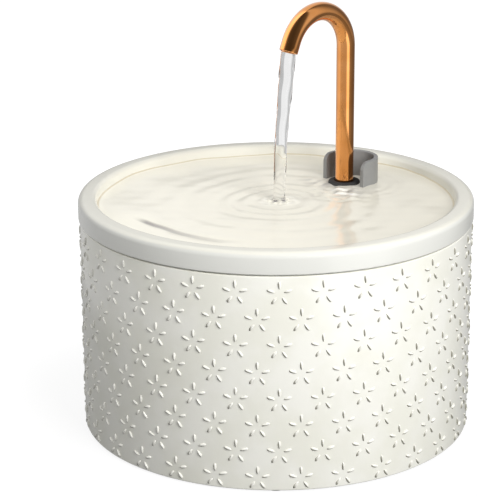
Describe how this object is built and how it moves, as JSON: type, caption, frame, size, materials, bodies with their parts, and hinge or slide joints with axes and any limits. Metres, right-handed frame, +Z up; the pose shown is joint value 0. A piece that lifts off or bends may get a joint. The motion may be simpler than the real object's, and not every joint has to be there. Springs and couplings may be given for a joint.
{
  "type": "pet water fountain",
  "caption": "Round ceramic pet water fountain with a lift-off drinking tray, a bent copper-coloured spout, a submersible pump and a slide-in filter.",
  "frame": {"origin": "centre of the underside, on the surface that the fountain stands on", "axes": "+Z up, -Y the front where the water runs over the shelf, +Y the side where the spout stands"},
  "size_m": [0.21, 0.21, 0.224],
  "materials": {
    "ceramic": "creamy white glaze, glossy",
    "clear_rubber": "translucent silicone",
    "black_rubber": "moulded, satin",
    "grey_plastic": "moulded ABS, satin",
    "copper_tube": "stainless tube with a copper-coloured coating, polished",
    "case_plastic": "moulded, satin",
    "white_plastic": "moulded, glossy",
    "carbon": "granulated activated carbon",
    "cotton": "non-woven filter cotton",
    "sponge": "open-cell foam",
    "pump_plastic": "moulded, satin",
    "ferrite": "sintered ferrite, ground",
    "shaft_steel": "ground stainless pin",
    "core_steel": "stacked laminations",
    "water": null,
    "winding": "enamelled copper wire"
  },
  "bodies": {
    "base": {"reservoir_bowl": "ceramic", "foot_pads": "clear_rubber", "cord_grommet": "black_rubber", "suction_cups": "black_rubber", "pump_case": "case_plastic", "case_lid": "case_plastic", "pump_body": "pump_plastic", "pump_back_cover": "pump_plastic", "stator_core": "core_steel", "stator_coil": "winding", "volute_cover": "pump_plastic", "volute_seal": "black_rubber", "impeller_shaft": "shaft_steel", "shaft_bushes": "black_rubber", "cable_gland": "black_rubber", "prefilter_sponge": "sponge", "riser_tube": "clear_rubber"},
    "tray": {"drinking_tray": "ceramic", "tray_gasket": "clear_rubber", "spout_shield": "grey_plastic", "shield_washer": "black_rubber", "shield_nut": "grey_plastic", "basin_water": "water"},
    "collar": {"spout_collar": "black_rubber"},
    "spout": {"spout_tube": "copper_tube", "spout_adapter": "grey_plastic", "adapter_o_rings": "black_rubber", "water_stream": "water"},
    "rotor": {"impeller": "white_plastic", "rotor_magnet": "ferrite"},
    "dial": {"flow_dial": "white_plastic"},
    "filter": {"filter_front_shell": "white_plastic", "filter_back_shell": "white_plastic", "carbon_media": "carbon", "cotton_pad": "cotton"}
  },
  "joints": [
    {"name": "tray_lift", "type": "slide", "parent": "base", "child": "tray", "axis": [0, 0, 1], "range_m": [0, 0.06]},
    {"name": "spout_pull", "type": "slide", "parent": "tray", "child": "collar", "axis": [0, 0, 1], "range_m": [0, 0.03]},
    {"name": "spout_swivel", "type": "hinge", "parent": "collar", "child": "spout", "pos_m": [0, 0.0534, 0.12], "axis": [0, 0, 1], "range_deg": [-90, 90]},
    {"name": "rotor_spin", "type": "hinge", "parent": "base", "child": "rotor", "pos_m": [0, 0.0534, 0.0395], "axis": [0, 1, 0], "continuous": true},
    {"name": "dial_turn", "type": "hinge", "parent": "base", "child": "dial", "pos_m": [0, 0.0441, 0.0395], "axis": [0, 1, 0], "range_deg": [0, 60]},
    {"name": "filter_pull", "type": "slide", "parent": "base", "child": "filter", "axis": [0, -1, 0], "range_m": [0, 0.03]}
  ]
}
